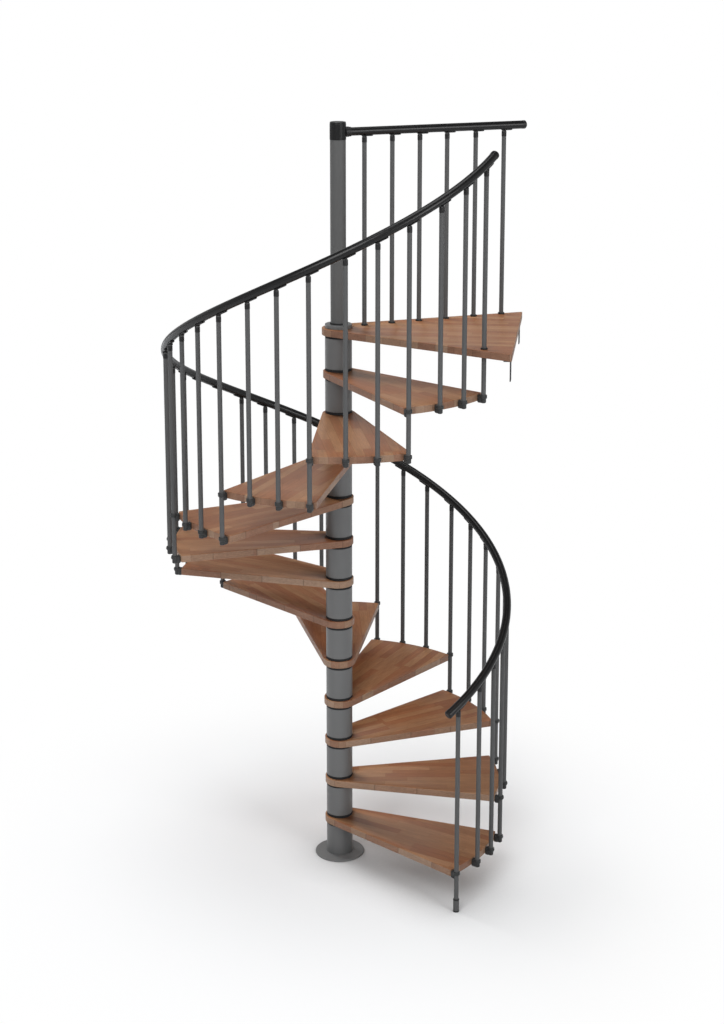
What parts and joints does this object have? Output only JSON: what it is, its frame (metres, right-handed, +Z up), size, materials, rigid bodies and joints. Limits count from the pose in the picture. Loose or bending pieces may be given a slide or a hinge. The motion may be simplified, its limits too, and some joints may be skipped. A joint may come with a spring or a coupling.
{
  "type": "spiral staircase",
  "caption": "Spiral staircase with wooden wedge treads on a grey steel column, a triangular landing, tube balusters and a black helical handrail.",
  "frame": {"origin": "on the column axis at the underside of the base flange", "axes": "+Z up along the column; +X towards the side where the landing is left; +Y is away from the front, so the stair climbs counter-clockwise seen from above, starting front right"},
  "size_m": [1.7677, 1.6997, 3.714],
  "materials": {
    "tread_wood": "satin",
    "column_paint": "satin",
    "baluster_paint": "satin",
    "rail_black": "satin",
    "fitting_black": "matte",
    "ring_rubber": "matte",
    "bracket_paint": "matte"
  },
  "bodies": {
    "root": {"base_flange": "column_paint", "core_pole": "column_paint", "base_spacer": "column_paint", "column_spacers": "column_paint", "gasket_rings": "ring_rubber", "tread_01": "tread_wood", "tread_02": "tread_wood", "tread_03": "tread_wood", "tread_04": "tread_wood", "tread_05": "tread_wood", "tread_06": "tread_wood", "tread_07": "tread_wood", "tread_08": "tread_wood", "tread_09": "tread_wood", "tread_10": "tread_wood", "tread_11": "tread_wood", "tread_12": "tread_wood", "landing": "tread_wood", "landing_disc": "column_paint", "landing_post": "column_paint", "post_cap": "fitting_black", "balusters_01": "baluster_paint", "balusters_02": "baluster_paint", "balusters_03": "baluster_paint", "balusters_04": "baluster_paint", "balusters_05": "baluster_paint", "balusters_06": "baluster_paint", "balusters_07": "baluster_paint", "balusters_08": "baluster_paint", "balusters_09": "baluster_paint", "balusters_10": "baluster_paint", "balusters_11": "baluster_paint", "balusters_12": "baluster_paint", "landing_corner_baluster": "baluster_paint", "baluster_foot": "baluster_paint", "baluster_clamps": "fitting_black", "baluster_plugs": "fitting_black", "floor_rings": "fitting_black", "rail_saddles": "fitting_black", "handrail": "rail_black", "handrail_tips": "rail_black", "landing_balusters": "baluster_paint", "landing_rail": "rail_black", "landing_rail_fittings": "fitting_black", "fixing_brackets": "bracket_paint"}
  },
  "joints": []
}
